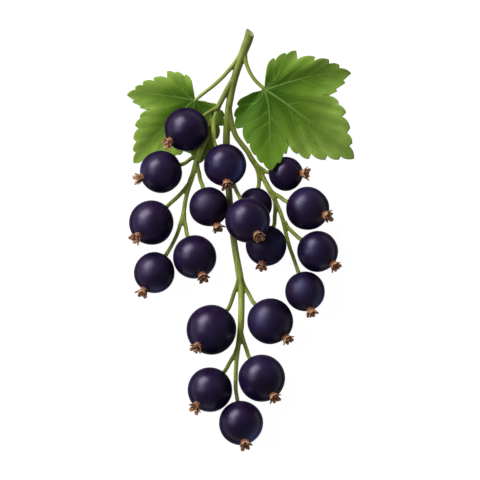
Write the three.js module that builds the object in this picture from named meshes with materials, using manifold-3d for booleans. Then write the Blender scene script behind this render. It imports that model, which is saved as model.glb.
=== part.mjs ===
// A sprig of blackcurrants as picked, lying on a flat surface: nineteen ripe berries on one branching
// stem, each with its dry calyx, and two lobed leaves on their stalks.
// Millimetres. +Z is up from the surface, +Y runs towards the cut end of the stem, and the origin is
// on the surface under the middle of the sprig. The sprig is about 113 long, 62 wide and 21 high.
import * as THREE from "three";
import { mergeVertices } from "three/addons/utils/BufferGeometryUtils.js";
import Module from "manifold-3d";

const wasm = await Module();
wasm.setup();

// Driving dimensions
const restFlat = 0.25; // how far a ripe berry gives where it rests on the surface
const joinGap = 0.15; // clearance between a berry and its stalk, and a berry and its calyx
const berrySides = 14;
const berryRows = 9;
const berryLength = 0.97; // along the berry's own axis, as a share of its width
const calyx = { height: 2.5, footRadius: 1.15, waistRadius: 1.0, sepals: 6, sepalReach: 2.05 };
const stalkSides = 6;
const stemSides = 8;
const stalkRadius = 0.53;
const knobRadius = 0.7; // a stalk widens where the berry sits on it
const sliver = 0.04; // details of the joined stems smaller than this are smoothed away
const leafThickness = 0.6;
const ringShares = [0.3, 0.64, 1]; // rings of a leaf's blade, as shares of the way to its edge

// Each berry: centre x, y, height of its centre (null where it rests on the surface), radius,
// heading of its stalk end, heading of its calyx, how far the calyx looks up and the stalk end down.
const berries = [
  { at: [-14.5, 29.8], height: 7.55, radius: 5.9, stalk: 38, calyx: 217, up: 29, down: 20 },
  { at: [-21.4, 18.4], height: null, radius: 5.7, stalk: 20, calyx: 197, up: 22, down: 13 },
  { at: [-24.0, 4.7], height: null, radius: 6.0, stalk: 46, calyx: 226, up: 36, down: 20 },
  { at: [-23.2, -8.8], height: null, radius: 5.5, stalk: 57, calyx: 240, up: 20, down: 15 },
  { at: [-12.3, -4.6], height: null, radius: 5.85, stalk: 109, calyx: 293, up: 33, down: 20 },
  { at: [-8.5, 9.0], height: null, radius: 5.3, stalk: 107, calyx: 294, up: 20, down: 10 },
  { at: [-4.1, 20.2], height: 8.2, radius: 5.7, stalk: 116, calyx: 277, up: 38, down: 20 },
  { at: [4.1, 9.6], height: null, radius: 4.5, stalk: 80, calyx: 240, up: 0, down: 15 },
  { at: [2.0, 5.3], height: 13.9, radius: 6.0, stalk: 109, calyx: 304, up: 44, down: 30 },
  { at: [7.0, -1.5], height: null, radius: 5.5, stalk: 69, calyx: 258, up: 30, down: 20 },
  { at: [12.3, 17.9], height: null, radius: 4.6, stalk: 174, calyx: 0, up: 25, down: 20 },
  { at: [18.2, 8.5], height: null, radius: 5.8, stalk: 161, calyx: 339, up: 36, down: 20 },
  { at: [20.9, -3.1], height: null, radius: 5.5, stalk: 144, calyx: 320, up: 26, down: 20 },
  { at: [17.5, -13.9], height: null, radius: 5.35, stalk: 109, calyx: 287, up: 25, down: 19 },
  { at: [-7.8, -24.2], height: null, radius: 6.7, stalk: 51, calyx: 230, up: 38, down: 20 },
  { at: [8.1, -21.9], height: null, radius: 6.15, stalk: 132, calyx: 313, up: 24, down: 10 },
  { at: [5.8, -37.3], height: null, radius: 6.3, stalk: 121, calyx: 304, up: 35, down: 20 },
  { at: [-8.2, -40.4], height: null, radius: 6.0, stalk: 51, calyx: 230, up: 33, down: 20 },
  { at: [0.2, -49.4], height: null, radius: 5.95, stalk: 99, calyx: 282, up: 36, down: 20 },
];

// Each stem follows its points, x, y, z and its own radius there. One that carries a berry at its
// tip runs on to that berry, by its number.
const stems = {
  main: {
    berry: 19,
    sides: stemSides,
    step: 3.5,
    points: [
      [2.65, 56.0, 2.6, 1.26], [2.1, 54.0, 2.6, 1.23], [1.3, 52.0, 2.6, 1.2], [0.55, 50.0, 2.5, 1.1],
      [-0.15, 48.0, 2.4, 1.03], [-0.85, 46.0, 2.3, 1.0], [-1.45, 44.0, 2.2, 0.98], [-1.95, 42.0, 2.1, 0.96],
      [-2.4, 40.0, 2.0, 0.94], [-2.75, 38.0, 1.9, 0.92], [-3.1, 36.0, 1.8, 0.9], [-3.3, 34.0, 1.7, 0.9],
      [-3.65, 30.0, 1.5, 0.93], [-3.75, 26.0, 1.4, 0.94], [-3.6, 20.2, 1.3, 0.92], [-3.1, 13.5, 1.3, 0.9],
      [-2.8, 9.5, 1.3, 0.88], [-1.75, 0.0, 1.7, 0.86], [-1.15, -4.0, 2.0, 0.88], [-0.6, -7.0, 2.3, 0.92],
      [-0.1, -10.0, 2.55, 0.98], [0.25, -12.5, 2.65, 0.92], [0.32, -15.5, 2.7, 0.86],
      [0.28, -20.0, 2.7, 0.85], [0.1, -24.0, 2.7, 0.84], [-0.2, -26.4, 2.7, 0.78], [-0.55, -28.5, 2.8, 0.69],
      [-0.8, -31.0, 2.9, 0.58], [-1.1, -34.0, 3.1, 0.55], [-1.27, -37.8, 3.2, 0.54],
      [-1.2, -40.5, 3.2, 0.52],
    ],
  },
  left: {
    berry: 4,
    sides: stemSides,
    step: 3,
    points: [
      [-1.45, 44.5, 2.2, 0.7], [-2.55, 42.5, 2.3, 0.72], [-3.6, 40.6, 2.4, 0.72], [-4.85, 38.2, 2.45, 0.7],
      [-5.7, 36.6, 2.5, 0.7], [-6.5, 35.1, 2.55, 0.68], [-7.4, 33.3, 2.6, 0.62], [-8.25, 30.6, 2.55, 0.6],
      [-9.1, 27.7, 2.4, 0.62], [-10.5, 24.9, 2.3, 0.7], [-11.55, 22.2, 2.2, 0.75],
      [-12.1, 20.3, 2.15, 0.75], [-12.75, 18.0, 2.1, 0.72], [-13.45, 16.0, 2.1, 0.76],
      [-14.05, 14.0, 2.1, 0.65],
      [-14.55, 12.0, 2.1, 0.57], [-14.95, 10.0, 2.15, 0.57], [-15.25, 8.0, 2.2, 0.58],
      [-15.7, 5.9, 2.3, 0.55], [-16.3, 4.0, 2.4, 0.53], [-16.9, 2.0, 2.5, 0.52], [-17.8, 0.0, 2.8, 0.5],
    ],
  },
  right: {
    berry: 14,
    sides: stemSides,
    step: 3,
    points: [
      [-3.1, 36.5, 1.8, 0.7], [-2.7, 33.5, 1.9, 0.7], [-2.15, 31.0, 2.05, 0.7], [-1.1, 28.0, 2.25, 0.68],
      [0.35, 26.0, 2.35, 0.68], [1.9, 24.0, 2.4, 0.69], [3.05, 22.0, 2.45, 0.72], [4.4, 20.0, 2.5, 0.76],
      [5.6, 18.0, 2.45, 0.7], [6.65, 16.0, 2.4, 0.66], [7.7, 14.0, 2.3, 0.7], [8.8, 12.0, 2.25, 0.66],
      [9.75, 10.0, 2.15, 0.56], [10.65, 8.0, 2.1, 0.56], [11.35, 6.0, 2.15, 0.55], [11.9, 4.0, 2.2, 0.55],
      [12.3, 2.0, 2.25, 0.51], [12.85, 0.0, 2.35, 0.5], [13.4, -2.0, 2.5, 0.5], [14.1, -4.0, 2.7, 0.5],
    ],
  },
};

// Each stalk leaves its stem at its first point and runs on to its berry, by its number.
const stalks = [
  { berry: 1, points: [[-6.2, 35.7, 2.55], [-7.8, 34.9, 3.3]] },
  { berry: 2, points: [[-11.4, 22.9, 2.2], [-13.0, 22.2, 2.5]] },
  { berry: 3, points: [[-13.9, 15.0, 2.1], [-15.4, 13.3, 2.3], [-16.9, 11.7, 2.6]] },
  { berry: 5, points: [[-15.35, 7.4, 2.2], [-15.1, 5.2, 2.3], [-14.75, 3.6, 2.5]] },
  { berry: 6, points: [[-11.85, 21.0, 2.2], [-11.45, 19.3, 2.4], [-11.1, 18.0, 2.7], [-10.85, 16.4, 3.3]] },
  { berry: 7, points: [[-6.7, 34.6, 2.6], [-7.15, 33.0, 3.0], [-7.3, 31.2, 3.6], [-7.25, 29.0, 4.5]] },
  { berry: 8, points: [[4.6, 19.4, 2.5], [4.95, 17.6, 2.6], [5.05, 16.4, 2.7]] },
  { berry: 9, points: [[-3.3, 18.6, 1.4], [-2.0, 15.7, 2.9], [-1.1, 13.4, 6.2]] },
  { berry: 10, points: [[9.2, 11.6, 2.25], [9.45, 9.8, 2.4], [9.45, 7.6, 2.7], [9.3, 5.9, 2.9]] },
  { berry: 11, points: [[4.1, 20.5, 2.5], [5.3, 19.6, 2.5], [6.2, 19.0, 2.3]] },
  { berry: 12, points: [[8.2, 13.1, 2.3], [9.4, 12.4, 2.45], [10.8, 11.6, 2.8]] },
  { berry: 13, points: [[11.9, 4.9, 2.2], [12.6, 3.8, 2.3], [13.9, 2.4, 2.6]] },
  { berry: 15, points: [[-0.3, -10.6, 2.5], [-0.95, -12.4, 2.7], [-1.55, -14.0, 2.8], [-2.2, -16.0, 3.1]] },
  { berry: 16, points: [[0.3, -10.8, 2.55], [1.05, -12.4, 2.7], [1.95, -14.0, 2.9], [2.6, -15.2, 3.5]] },
  { berry: 17, points: [[0.1, -25.0, 2.7], [0.75, -26.8, 2.8], [1.2, -28.2, 2.9], [1.75, -29.8, 3.1]] },
  { berry: 18, points: [[-0.7, -29.2, 2.8], [-1.4, -30.7, 2.9], [-2.3, -32.2, 3.0], [-3.1, -33.6, 3.1]] },
];

// Leaf stalks run from the main stem to the notch at the back of their leaf.
const leafStalks = [
  [[0.9, 51.4, 2.5, 0.66], [-0.95, 48.7, 2.6, 0.58], [-3.0, 46.05, 2.7, 0.54], [-5.0, 43.85, 2.6, 0.53],
    [-7.0, 42.0, 2.4, 0.51], [-9.0, 40.45, 2.25, 0.48], [-11.2, 38.6, 2.05, 0.46]],
  [[1.2, 51.2, 2.6, 0.62], [1.55, 48.1, 2.9, 0.52], [2.3, 46.0, 3.05, 0.5], [3.15, 44.4, 3.1, 0.49],
    [4.15, 43.05, 3.2, 0.49], [5.6, 41.5, 3.25, 0.48]],
];

// Half of the blade's edge in the leaf's own frame, its middle rib along +X: each tooth's tip and the
// notch before it, from the notch at the stalk round to the tip of the middle lobe.
const nearTeeth = [
  { notch: [-2.6, 5.8], tip: [-2.5, 8.7] },
  { notch: [-1.8, 8.4], tip: [-0.9, 11.6] },
  { notch: [-0.3, 11.5], tip: [1.2, 13.9] },
  { notch: [2.9, 12.2], tip: [6.2, 15.6] },
  { notch: [6.7, 14.6], tip: [9.6, 17.3] },
  { notch: [10.4, 16.4], tip: [12.7, 17.9] },
  { notch: [13.3, 17.2], tip: [16.7, 18.0] },
  { notch: [16.2, 15.1], tip: [17.0, 14.8] },
  { notch: [16.0, 12.0], tip: [16.6, 11.7] },
  { notch: [15.4, 9.3], tip: [18.7, 9.7] },
  { notch: [19.0, 9.1], tip: [22.0, 8.6] },
  { notch: [21.8, 7.1], tip: [25.4, 5.9] },
  { notch: [25.5, 4.4], tip: [28.3, 3.1] },
  { notch: [28.1, 2.0], tip: [31.2, 0.0] },
];
// The other half, from the tip of the middle lobe back to the stalk.
const farTeeth = [
  { notch: [27.9, -1.7], tip: [28.1, -2.7] },
  { notch: [24.9, -3.7], tip: [25.2, -5.0] },
  { notch: [21.1, -5.9], tip: [21.5, -7.5] },
  { notch: [18.4, -7.8], tip: [18.2, -8.3] },
  { notch: [14.8, -7.5], tip: [15.9, -10.1] },
  { notch: [15.1, -10.1], tip: [16.1, -13.0] },
  { notch: [15.4, -13.4], tip: [15.5, -16.1] },
  { notch: [12.3, -15.7], tip: [11.9, -16.1] },
  { notch: [9.5, -15.2], tip: [9.2, -15.5] },
  { notch: [6.2, -13.7], tip: [5.8, -14.2] },
  { notch: [2.2, -11.3], tip: [0.9, -12.7] },
  { notch: [-0.9, -10.5], tip: [-1.7, -10.3] },
  { notch: [-2.1, -7.5], tip: [-2.9, -7.4] },
];
// The left leaf's second sinus is shallower, so its teeth there differ.
const shallowFarTeeth = farTeeth
  .with(3, { notch: [18.7, -8.5], tip: [18.1, -9.3] })
  .with(4, { notch: [16.4, -9.1], tip: [15.7, -10.7] })
  .with(5, { notch: [15.3, -11.4], tip: [15.9, -13.3] });
const hub = 1.2; // the rings of a blade close in on this point of its middle rib
const toothBulge = 0.12; // how far a tooth's long edge swells, as a share of its length
const nearReach = 28; // teeth further from the stalk than this keep their place in every leaf
const farReach = 20;

// A leaf's five main ribs, by their heading in the leaf's frame and their length.
const ribs = [
  { heading: 90, length: 14.0 },
  { heading: 47, length: 24.6 },
  { heading: 0, length: 31.2 },
  { heading: -46, length: 22.4 },
  { heading: -92, length: 12.7 },
];

// Where each leaf lies. nearBack and farBack are the smooth edge on either side of the stalk, from the
// stalk out to the first tooth, and nearShift and farShift move the teeth next to it. For each rib, from
// the one at +90 to the one at -92, lift is the height that the blade arches towards and end the height
// of the rib's tip.
const leaves = [
  {
    name: "leaf_left", far: shallowFarTeeth, mirror: -1, size: 0.782,
    nearBack: [[-0.4, 1.0], [-2.0, 3.4]], nearShift: [-0.7, 0.35],
    farBack: [[-0.2, -0.3], [-2.4, -3.0], [-3.4, -5.7]], farShift: [-1.1, -0.5],
    at: [-11.7, 38.1], heading: 225, base: 1.95, pucker: 0.35,
    lift: [2.4, 1.3, 0.8, 0.7, 1.0],
    end: [1.8, 2.4, 0.5, 0.6, 0.6],
  },
  {
    name: "leaf_right", far: farTeeth, mirror: 1, size: 1,
    nearBack: [[0.1, 1.0], [-1.4, 3.4]], nearShift: [0, 0],
    farBack: [[0.1, -0.4], [-1.6, -2.5], [-2.6, -4.7]], farShift: [0, 0],
    at: [5.87, 40.82], heading: -37, base: 3.2, pucker: 0.7,
    lift: [4.4, 5.0, 4.8, 5.4, 3.6],
    end: [3.6, 0.5, 0.5, 9.5, 4.2],
  },
];

const greenStem = new THREE.MeshStandardMaterial({ color: 0x7d9140, roughness: 0.6, metalness: 0 });
const leafGreen = new THREE.MeshStandardMaterial({ color: 0x55802a, roughness: 0.6, metalness: 0 });
const berryBlack = new THREE.MeshStandardMaterial({ color: 0x1d1428, roughness: 0.35, metalness: 0 });
const dryBrown = new THREE.MeshStandardMaterial({ color: 0x7a4a2c, roughness: 0.9, metalness: 0 });

// Keeps positions alone and merges shared vertices, so that the mesh reads as one closed surface.
function closed(geometry) {
  const bare = geometry.clone();
  bare.deleteAttribute("normal");
  bare.deleteAttribute("uv");
  return mergeVertices(bare, 1e-4);
}

function solidOf(geometry) {
  const merged = closed(geometry);
  return new wasm.Manifold(new wasm.Mesh({
    numProp: 3,
    vertProperties: merged.attributes.position.array,
    triVerts: new Uint32Array(merged.index.array),
  }));
}

function geometryOf(solid) {
  const mesh = solid.getMesh();
  const geometry = new THREE.BufferGeometry();
  geometry.setAttribute("position", new THREE.BufferAttribute(new Float32Array(mesh.vertProperties), 3));
  geometry.setIndex(new THREE.BufferAttribute(new Uint32Array(mesh.triVerts), 1));
  geometry.computeVertexNormals();
  return geometry;
}

// A unit vector from a heading round +Z and a rise above the surface, both in degrees.
function towards(heading, rise) {
  const h = THREE.MathUtils.degToRad(heading);
  const r = THREE.MathUtils.degToRad(rise);
  return new THREE.Vector3(Math.cos(h) * Math.cos(r), Math.sin(h) * Math.cos(r), Math.sin(r));
}

function centreOf(berry) {
  return new THREE.Vector3(...berry.at, berry.height ?? berry.radius - restFlat);
}

// A closed round bar, bent along a smooth curve through rows of x, y, z and radius. Its flat sides lie
// as far inside that radius as its corners stand out, so that it is as thick as a round one.
function bentBar(rows, sides, step) {
  const cornerReach = Math.sqrt(2 * Math.PI / (sides * Math.sin(2 * Math.PI / sides)));
  const curve = new THREE.CatmullRomCurve3(rows.map(([x, y, z]) => new THREE.Vector3(x, y, z)));
  const steps = Math.max(3, Math.round(curve.getLength() / step));
  const frames = curve.computeFrenetFrames(steps);
  const bar = new THREE.CylinderGeometry(1, 1, 1, sides, steps);
  const place = bar.attributes.position;
  const centre = new THREE.Vector3();
  for (let i = 0; i < place.count; i++) {
    const row = Math.round((0.5 + place.getY(i)) * steps);
    const along = curve.getUtoTmapping(row / steps) * (rows.length - 1);
    const before = Math.min(Math.floor(along), rows.length - 2);
    const radius = cornerReach * THREE.MathUtils.lerp(rows[before][3], rows[before + 1][3], along - before);
    curve.getPointAt(row / steps, centre);
    centre.addScaledVector(frames.binormals[row], place.getX(i) * radius);
    centre.addScaledVector(frames.normals[row], place.getZ(i) * radius);
    place.setXYZ(i, centre.x, centre.y, centre.z);
  }
  return solidOf(bar);
}

// The last two rows of a stalk: straight in to its berry, where it widens to a knob.
function rowsToBerry(number, radius) {
  const berry = berries[number - 1];
  const out = towards(berry.stalk, -berry.down);
  const reach = berry.radius * berryLength + joinGap;
  const rows = [];
  for (const [beyond, thickness] of [[1.3, radius], [0, knobRadius]])
    rows.push([...centreOf(berry).addScaledVector(out, reach + beyond).toArray(), thickness]);
  return rows;
}

function stemSolid() {
  const bars = [];
  for (const { points, berry, sides, step } of Object.values(stems))
    bars.push(bentBar([...points, ...rowsToBerry(berry, stalkRadius)], sides, step));
  for (const { points, berry } of stalks) {
    const rows = points.map((point) => [...point, stalkRadius]);
    bars.push(bentBar([...rows, ...rowsToBerry(berry, stalkRadius)], stalkSides, 2.3));
  }
  for (const rows of leafStalks)
    bars.push(bentBar(rows, stalkSides, 2.8));
  return bars.reduce((whole, bar) => whole.add(bar)).simplify(sliver);
}

// A berry about its own centre: a little flattened along its axis, dimpled where its stalk joins,
// and cut level where it rests on the surface.
function berrySolid(berry) {
  const ball = new THREE.SphereGeometry(berry.radius, berrySides, berryRows);
  const place = ball.attributes.position;
  for (let i = 0; i < place.count; i++) {
    const pole = Math.abs(place.getY(i)) > berry.radius * 0.999;
    place.setY(i, place.getY(i) * berryLength * (pole ? 0.98 : 1));
  }
  const axis = towards(berry.calyx, berry.up);
  ball.applyQuaternion(new THREE.Quaternion().setFromUnitVectors(new THREE.Vector3(0, 1, 0), axis));
  const solid = solidOf(ball);
  if (berry.height !== null)
    return solid;
  const floor = new THREE.BoxGeometry(30, 30, 10).translate(0, 0, -5 - centreOf(berry).z);
  return solid.subtract(solidOf(floor));
}

// A dry calyx along +Y from the berry's skin: a short neck that opens into pointed sepals.
function calyxGeometry(turn) {
  const { height, footRadius, waistRadius, sepals, sepalReach } = calyx;
  const profile = [
    [0, 0], [footRadius, 0], [waistRadius, height * 0.3], [waistRadius * 1.15, height * 0.5],
    [waistRadius * 0.75, height * 0.56], [0, height * 0.36],
  ];
  const rim = [3, 4]; // the profile's points that reach out into the sepals
  const sections = sepals * 2;
  const crown = new THREE.LatheGeometry(profile.map(([x, y]) => new THREE.Vector2(x, y)), sections);
  const place = crown.attributes.position;
  for (let i = 0; i < place.count; i++) {
    const section = Math.floor(i / profile.length) % sections;
    const row = i % profile.length;
    if (!rim.includes(row) || section % 2)
      continue;
    const outer = row === 3;
    const stretch = outer ? sepalReach / (waistRadius * 1.15) : (sepalReach - 0.3) / (waistRadius * 0.75);
    const lift = outer ? height * 0.44 : height * 0.44 - 0.05;
    place.setXYZ(i, place.getX(i) * stretch, place.getY(i) + lift, place.getZ(i) * stretch);
  }
  return crown.rotateY(turn);
}

// Smoothly mixes the values given for the five ribs at a heading in the leaf's frame.
function mixRibs(values, heading) {
  if (heading >= ribs[0].heading)
    return values[0];
  const next = ribs.findIndex((rib) => rib.heading <= heading);
  if (next < 0)
    return values[ribs.length - 1];
  const share = (ribs[next - 1].heading - heading) / (ribs[next - 1].heading - ribs[next].heading);
  return THREE.MathUtils.lerp(values[next - 1], values[next], THREE.MathUtils.smoothstep(share, 0, 1));
}

// 0 on a rib and 1 midway between two of them.
function betweenRibs(heading) {
  const next = ribs.findIndex((rib) => rib.heading <= heading);
  if (next <= 0)
    return 0;
  const share = (ribs[next - 1].heading - heading) / (ribs[next - 1].heading - ribs[next].heading);
  return Math.sin(Math.PI * share) ** 2;
}

// Height of the middle of a blade: it arches along each rib and puckers up between them.
function bladeHeight(leaf, x, y) {
  const heading = THREE.MathUtils.radToDeg(Math.atan2(y, x));
  const share = Math.min(1, Math.hypot(x, y) / mixRibs(ribs.map((rib) => rib.length), heading));
  const arch = leaf.base * (1 - share) ** 2
    + mixRibs(leaf.lift, heading) * 2 * share * (1 - share)
    + mixRibs(leaf.end, heading) * share ** 2;
  return arch + leaf.pucker * betweenRibs(heading) * share * (1 - 0.5 * share);
}

// Moves the teeth near the stalk, and those further out along the blade less, down to none at reach.
function shifted(teeth, by, reach) {
  const moved = ([x, y]) => {
    const share = Math.max(0, 1 - (x / reach) ** 2);
    return [x + by[0] * share, y + by[1] * share];
  };
  return teeth.map(({ notch, tip }) => ({ notch: moved(notch), tip: moved(tip) }));
}

// The blade's toothed edge: each tooth swells along its long side and drops back to the next notch.
function bladeEdge(leaf) {
  const near = shifted(nearTeeth, leaf.nearShift, nearReach);
  const far = shifted(leaf.far, leaf.farShift, farReach);
  const edge = [...leaf.nearBack];
  const swollen = ([ax, ay], [bx, by]) => [
    (ax + bx) / 2 - (by - ay) * toothBulge,
    (ay + by) / 2 + (bx - ax) * toothBulge,
  ];
  for (const { notch, tip } of near)
    edge.push(notch, swollen(notch, tip), tip);
  far.forEach(({ notch, tip }, i) => {
    const from = i ? far[i - 1].tip : near.at(-1).tip;
    edge.push(swollen(from, notch), notch, tip);
  });
  return [...edge, ...leaf.farBack.toReversed()];
}

// A thin blade: rings of points from the stalk out to the toothed edge, alike on both faces.
function leafGeometry(leaf) {
  const edge = bladeEdge(leaf);
  const middle = [[hub, 0]];
  for (const share of ringShares)
    middle.push(...edge.map(([x, y]) => [hub + (x - hub) * share, y * share]));
  const points = [];
  for (const side of [1, -1])
    for (const [x, y] of middle)
      points.push(
        x * leaf.size,
        y * leaf.size * leaf.mirror,
        bladeHeight(leaf, x, y) + side * leafThickness / 2,
      );
  const triangles = [];
  const under = middle.length;
  const bothFaces = (a, b, c) => triangles.push(a, b, c, under + a, under + c, under + b);
  for (let i = 0; i < edge.length; i++) {
    const next = (i + 1) % edge.length;
    bothFaces(0, 1 + next, 1 + i);
    for (let ring = 1; ring < ringShares.length; ring++) {
      const inner = 1 + (ring - 1) * edge.length;
      const outer = inner + edge.length;
      bothFaces(inner + i, inner + next, outer + i);
      bothFaces(inner + next, outer + next, outer + i);
    }
    const rim = 1 + (ringShares.length - 1) * edge.length;
    triangles.push(rim + i, rim + next, under + rim + i, rim + next, under + rim + next, under + rim + i);
  }
  if (leaf.mirror < 0)
    for (let i = 0; i < triangles.length; i += 3)
      [triangles[i + 1], triangles[i + 2]] = [triangles[i + 2], triangles[i + 1]];
  const blade = new THREE.BufferGeometry();
  blade.setAttribute("position", new THREE.Float32BufferAttribute(points, 3));
  blade.setIndex(triangles);
  blade.computeVertexNormals();
  return blade;
}

function namedMesh(name, geometry, material) {
  const mesh = new THREE.Mesh(geometry, material);
  mesh.name = name;
  return mesh;
}

const sprig = new THREE.Group();
sprig.add(namedMesh("stem", geometryOf(stemSolid()), greenStem));

for (const leaf of leaves) {
  const blade = namedMesh(leaf.name, leafGeometry(leaf), leafGreen);
  blade.position.set(...leaf.at, 0);
  blade.rotation.z = THREE.MathUtils.degToRad(leaf.heading);
  sprig.add(blade);
}

berries.forEach((berry, i) => {
  const number = String(i + 1).padStart(2, "0");
  const fruit = namedMesh("berry_" + number, geometryOf(berrySolid(berry)), berryBlack);
  fruit.position.copy(centreOf(berry));
  sprig.add(fruit);

  const axis = towards(berry.calyx, berry.up);
  const crown = namedMesh("calyx_" + number, calyxGeometry(i * 0.7), dryBrown);
  crown.quaternion.setFromUnitVectors(new THREE.Vector3(0, 1, 0), axis);
  crown.position.copy(centreOf(berry)).addScaledVector(axis, berry.radius * berryLength + joinGap);
  sprig.add(crown);
});

export default sprig;
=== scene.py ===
# A picked sprig of ripe blackcurrants, lying on a pale surface and seen from straight above.
# Pieces are shaped in millimetres, and addPiece brings each one to metres in the frame of the CAD.
import math
import random

import bmesh
import bpy
import numpy as np
from mathutils import Matrix, Vector, noise
from mathutils.kdtree import KDTree


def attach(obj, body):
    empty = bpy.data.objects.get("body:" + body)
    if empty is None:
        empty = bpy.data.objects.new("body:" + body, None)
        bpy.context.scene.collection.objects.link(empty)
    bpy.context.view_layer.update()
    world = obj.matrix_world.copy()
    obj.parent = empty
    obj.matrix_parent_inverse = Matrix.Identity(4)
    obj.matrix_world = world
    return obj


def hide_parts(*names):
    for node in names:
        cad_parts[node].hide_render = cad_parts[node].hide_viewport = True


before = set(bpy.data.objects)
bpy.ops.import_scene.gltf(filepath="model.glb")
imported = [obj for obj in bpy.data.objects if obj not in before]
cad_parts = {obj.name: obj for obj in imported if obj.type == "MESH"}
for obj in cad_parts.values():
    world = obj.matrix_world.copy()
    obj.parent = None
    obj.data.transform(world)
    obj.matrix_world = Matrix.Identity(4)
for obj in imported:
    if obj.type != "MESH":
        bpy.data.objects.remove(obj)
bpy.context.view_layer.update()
mm = 0.001
scene = bpy.context.scene


# Camera, light and floor

camera = {
    "lens": 400,  # a long lens, so that the higher berries hardly grow
    "sensor": 36,
    "frameWidth": 129.6,  # what the picture's width spans at focusHeight
    "focusHeight": 5.5,
    "centre": (-0.07, 0.0),
}
light = {
    "keyFrom": (-0.57, 0.69, 0.45),  # direction of the soft box, up and to the left
    "keyDistance": 700,
    "keySize": (500, 390),
    "keyPower": 7.7,
    "keyColour": (1, 1, 1),
    "sideFrom": (-0.76, 0.20, 0.62),  # a wider and dimmer one further down the left
    "sideDistance": 800,
    "sideSize": (520, 520),
    "sidePower": 3.3,
    "sideColour": (0.80, 0.84, 1.0),
    "sky": (0.19, 0.19, 0.225),
}
floor = {"width": 4000, "colour": (0.12, 0.12, 0.12), "glow": 0.97}


def addCamera():
    data = bpy.data.cameras.new("camera")
    data.lens = camera["lens"]
    data.sensor_width = camera["sensor"]
    distance = camera["frameWidth"] * camera["lens"] / camera["sensor"]
    eye = bpy.data.objects.new("camera", data)
    eye.location = Vector((*camera["centre"], camera["focusHeight"] + distance)) * mm
    scene.collection.objects.link(eye)
    scene.camera = eye


def addSoftBox(name, direction, distance, size, power, colour):
    data = bpy.data.lights.new(name, "AREA")
    data.shape = "RECTANGLE"
    data.size, data.size_y = size[0] * mm, size[1] * mm
    data.energy = power
    data.color = colour
    lamp = bpy.data.objects.new(name, data)
    facing = Vector(direction).normalized()
    lamp.location = facing * distance * mm
    lamp.rotation_euler = facing.to_track_quat("Z", "Y").to_euler()
    scene.collection.objects.link(lamp)


def addFloor():
    bm = bmesh.new()
    bmesh.ops.create_grid(bm, x_segments=1, y_segments=1, size=floor["width"] * mm / 2)
    mesh = bpy.data.meshes.new("floor")
    bm.to_mesh(mesh)
    bm.free()
    ground = bpy.data.objects.new("floor", mesh)
    scene.collection.objects.link(ground)
    material, shader, _ = newMaterial("floorWhite", roughness=0.9, specular=0.1)
    shader.inputs["Base Color"].default_value = (*floor["colour"], 1)
    shader.inputs["Emission Color"].default_value = (1, 1, 1, 1)
    shader.inputs["Emission Strength"].default_value = floor["glow"]
    mesh.materials.append(material)


def addSky():
    world = bpy.data.worlds.new("sky")
    world.use_nodes = True
    background = world.node_tree.nodes["Background"]
    background.inputs["Color"].default_value = (*light["sky"], 1)
    scene.world = world


# Materials

def newMaterial(name, roughness, specular=0.5):
    material = bpy.data.materials.new(name)
    material.use_nodes = True
    tree = material.node_tree
    shader = tree.nodes["Principled BSDF"]
    shader.inputs["Roughness"].default_value = roughness
    shader.inputs["Specular IOR Level"].default_value = specular
    return material, shader, tree


def addNode(tree, kind, **settings):
    # settings whose name is an input's become its value, and the others are the node's own
    node = tree.nodes.new("ShaderNode" + kind)
    for key, value in settings.items():
        label = key.replace("_", " ")
        if label in node.inputs:
            node.inputs[label].default_value = value
        else:
            setattr(node, key, value)
    return node


def readLayer(tree, name):
    return addNode(tree, "Attribute", attribute_name=name).outputs["Fac"]


def readPlace(tree):
    return addNode(tree, "TexCoord").outputs["Object"]


def addRamp(tree, source, places, colours):
    ramp = addNode(tree, "ValToRGB")
    while len(ramp.color_ramp.elements) < len(colours):
        ramp.color_ramp.elements.new(0.5)
    for element, place, colour in zip(ramp.color_ramp.elements, places, colours):
        element.position = place
        element.color = (*colour, 1)
    tree.links.new(source, ramp.inputs["Fac"])
    return ramp.outputs["Color"]


def addMix(tree, factor, first, second, blend="MIX"):
    mix = addNode(tree, "Mix", data_type="RGBA", blend_type=blend)
    for place, value in (("Factor", factor), ("A", first), ("B", second)):
        socket = [s for s in mix.inputs if s.name == place and s.enabled][0]
        if isinstance(value, bpy.types.NodeSocket):
            tree.links.new(value, socket)
        elif place == "Factor":
            socket.default_value = value
        else:
            socket.default_value = (*value, 1)
    return [s for s in mix.outputs if s.enabled][0]


def addRange(tree, source, low, high, toLow, toHigh):
    node = addNode(tree, "MapRange", From_Min=low, From_Max=high, To_Min=toLow, To_Max=toHigh)
    tree.links.new(source, node.inputs["Value"])
    return node.outputs["Result"]


def addNoise(tree, vector, size, detail=3.0, roughness=0.5):
    # size is the width of one blotch, in millimetres
    node = addNode(tree, "TexNoise", Scale=1 / (size * mm), Detail=detail, Roughness=roughness)
    tree.links.new(vector, node.inputs["Vector"])
    return node.outputs["Fac"]


def addBump(tree, shader, height, depth):
    # depth is in millimetres
    node = addNode(tree, "Bump", Distance=depth * mm)
    tree.links.new(height, node.inputs["Height"])
    tree.links.new(node.outputs["Normal"], shader.inputs["Normal"])


berryLook = {
    "deep": (0.0060, 0.0022, 0.0130),
    "ripe": (0.0110, 0.0036, 0.0190),
    "navy": (0.0070, 0.0045, 0.0220),
    "bloom": (0.032, 0.021, 0.062),
    "bloomAndPaintedSheen": (0.085, 0.130, 0.380),
    "blotch": 6.0,
    "blotchStops": (0.36, 0.5, 0.66),
    "waxPatch": 9.0,
    "wax": (0.45, 0.75, 0.0, 0.45),  # range of that pattern, and how much bloom lies at both its ends
    "pore": 0.35,
    "poreDepth": 0.012,
    "ior": 1.31,
    "roughness": (0.31, 0.50),  # of a shiny berry and of a waxy one
    "glossTint": (0.80, 0.72, 1.0),
    "gloss": (0.18, 0.5, 0.75, 0.01),  # facing at which it starts to fade and has faded, level at both
}


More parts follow.
